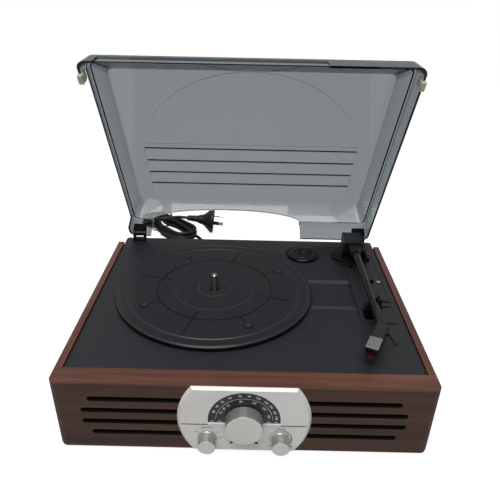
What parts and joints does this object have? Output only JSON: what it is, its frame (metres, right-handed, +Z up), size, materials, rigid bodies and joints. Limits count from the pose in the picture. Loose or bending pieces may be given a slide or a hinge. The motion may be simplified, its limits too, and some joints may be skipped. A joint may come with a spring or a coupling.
{
  "type": "music centre",
  "caption": "Wood-cased record player with a smoked hinged lid, belt-driven platter, pivoted tonearm, front radio dial with knobs and slotted speaker grilles.",
  "frame": {"origin": "on the surface it stands on, at the middle of the footprint with the lid open, the mains lead left out", "axes": "+X to the right seen from the front, +Y from the front panel to the back, +Z up along the spindle"},
  "size_m": [0.367, 0.551, 0.3291],
  "materials": {
    "walnut_film": "wood-grain film on board, satin",
    "dark_wood_film": "darker wood-grain film on the front panel, satin",
    "wood_block": "raw pine",
    "black_plastic": "moulded ABS, fine texture",
    "deck_plastic": "moulded ABS, fine spark texture",
    "silver_plastic": "silver paint on moulded plastic",
    "dial_film": "printed film behind a clear lacquer",
    "smoke_acrylic": "smoked clear acrylic, polished",
    "steel": "turned or rolled steel",
    "bright_metal": "plated",
    "brass": "turned brass",
    "black_rubber": "smooth rubber",
    "tan_rubber": "rubber band",
    "pale_rubber": "soft translucent bumper",
    "red_plastic": "red moulded plastic",
    "grey_plastic": "light grey moulded plastic",
    "circuit_board": "solder mask on laminate",
    "cloth": "speaker cloth",
    "cone_paper": "pressed speaker paper",
    "white_plastic": "natural nylon"
  },
  "bodies": {
    "cabinet": {"front_panel": "dark_wood_film", "side_wall_left": "walnut_film", "side_wall_right": "walnut_film", "bottom_panel": "walnut_film", "back_cover": "black_plastic", "feet": "black_rubber", "corner_blocks": "wood_block", "case_screws": "steel", "grille_cloth": "cloth", "speaker_frames": "black_plastic", "speaker_cones": "cone_paper", "speaker_magnets": "steel", "radio_plate": "silver_plastic", "dial_scale": "dial_film", "indicator_lights": "red_plastic", "tuner_board": "circuit_board", "tuning_capacitor": "white_plastic", "volume_control": "steel", "band_switch": "steel", "main_board": "circuit_board", "transformer": "steel", "deck": "deck_plastic", "spindle": "bright_metal", "spindle_clip": "black_plastic", "drive_belt": "black_rubber", "motor": "steel", "arm_base": "deck_plastic", "arm_rest": "black_plastic", "hinge_brackets": "black_plastic", "hinge_pins": "steel", "strain_relief": "black_rubber", "mains_cord": "black_rubber", "cord_hank": "black_rubber", "cord_tie": "tan_rubber", "plug_lead": "black_rubber", "mains_plug": "black_rubber"},
    "platter": {"platter": "black_plastic"},
    "pulley": {"motor_pulley": "brass"},
    "tuning": {"tuning_knob": "silver_plastic"},
    "volume": {"volume_knob": "silver_plastic"},
    "band": {"band_knob": "silver_plastic"},
    "turret": {"arm_turret": "black_plastic", "arm_pivot_pin": "steel"},
    "tonearm": {"arm_housing": "deck_plastic", "counterweight": "steel", "arm_tube": "deck_plastic", "arm_elbow": "deck_plastic", "headshell": "deck_plastic", "cartridge": "grey_plastic", "stylus_holder": "red_plastic", "finger_lift": "black_plastic"},
    "clip": {"arm_clip": "black_plastic"},
    "cue": {"cue_lever": "black_plastic"},
    "cue_bar": {"cue_lift_bar": "black_plastic"},
    "speed": {"speed_knob": "black_plastic"},
    "auto_stop": {"auto_stop_knob": "black_plastic"},
    "adapter": {"record_adapter": "black_plastic"},
    "lid": {"lid": "smoke_acrylic", "lid_bumpers": "pale_rubber", "hinge_leaves": "black_plastic"}
  },
  "joints": [
    {"name": "lid_hinge", "type": "hinge", "parent": "cabinet", "child": "lid", "pos_m": [0, 0.13987, 0.088], "axis": [1, 0, 0], "range_deg": [0, 60.5]},
    {"name": "platter_spin", "type": "hinge", "parent": "cabinet", "child": "platter", "pos_m": [-0.0377, 0.00447, 0.08], "axis": [0, 0, 1], "continuous": true},
    {"name": "pulley_spin", "type": "hinge", "parent": "cabinet", "child": "pulley", "pos_m": [-0.09992, 0.0667, 0.077], "axis": [0, 0, 1], "continuous": true},
    {"name": "arm_swing", "type": "hinge", "parent": "cabinet", "child": "turret", "pos_m": [0.1338, 0.10197, 0.098], "axis": [0, 0, -1], "range_deg": [0, 44]},
    {"name": "arm_lift", "type": "hinge", "parent": "turret", "child": "tonearm", "pos_m": [0.1338, 0.10197, 0.098], "axis": [-1, 0, 0], "range_deg": [0, 7]},
    {"name": "clip_turn", "type": "hinge", "parent": "cabinet", "child": "clip", "pos_m": [0.141, -0.03603, 0.1004], "axis": [0, -1, 0], "range_deg": [0, 176]},
    {"name": "cue_turn", "type": "hinge", "parent": "cabinet", "child": "cue", "pos_m": [0.1498, 0.10097, 0.088], "axis": [-1, 0, 0], "range_deg": [0, 40]},
    {"name": "cue_bar_lift", "type": "slide", "parent": "cabinet", "child": "cue_bar", "axis": [0, 0, 1], "range_m": [0, 0.0032]},
    {"name": "tuning_turn", "type": "hinge", "parent": "cabinet", "child": "tuning", "pos_m": [0, -0.15613, 0.044], "axis": [0, -1, 0], "range_deg": [-135, 135]},
    {"name": "volume_turn", "type": "hinge", "parent": "cabinet", "child": "volume", "pos_m": [0.034, -0.15613, 0.0217], "axis": [0, -1, 0], "range_deg": [0, 270]},
    {"name": "band_turn", "type": "hinge", "parent": "cabinet", "child": "band", "pos_m": [-0.034, -0.15613, 0.0217], "axis": [0, -1, 0], "range_deg": [-60, 60]},
    {"name": "speed_slide", "type": "slide", "parent": "cabinet", "child": "speed", "axis": [0, 1, 0], "range_m": [-0.004, 0.004]},
    {"name": "auto_stop_slide", "type": "slide", "parent": "cabinet", "child": "auto_stop", "axis": [1, 0, 0], "range_m": [0, 0.008]},
    {"name": "adapter_lift", "type": "slide", "parent": "cabinet", "child": "adapter", "axis": [0, 0, 1], "range_m": [0, 0.03]}
  ],
  "couplings": [
    {"joint": "pulley_spin", "follows": "platter_spin", "ratio": 11.84},
    {"joint": "cue_turn", "follows": "cue_bar_lift", "rad_per_m": 218.16}
  ]
}
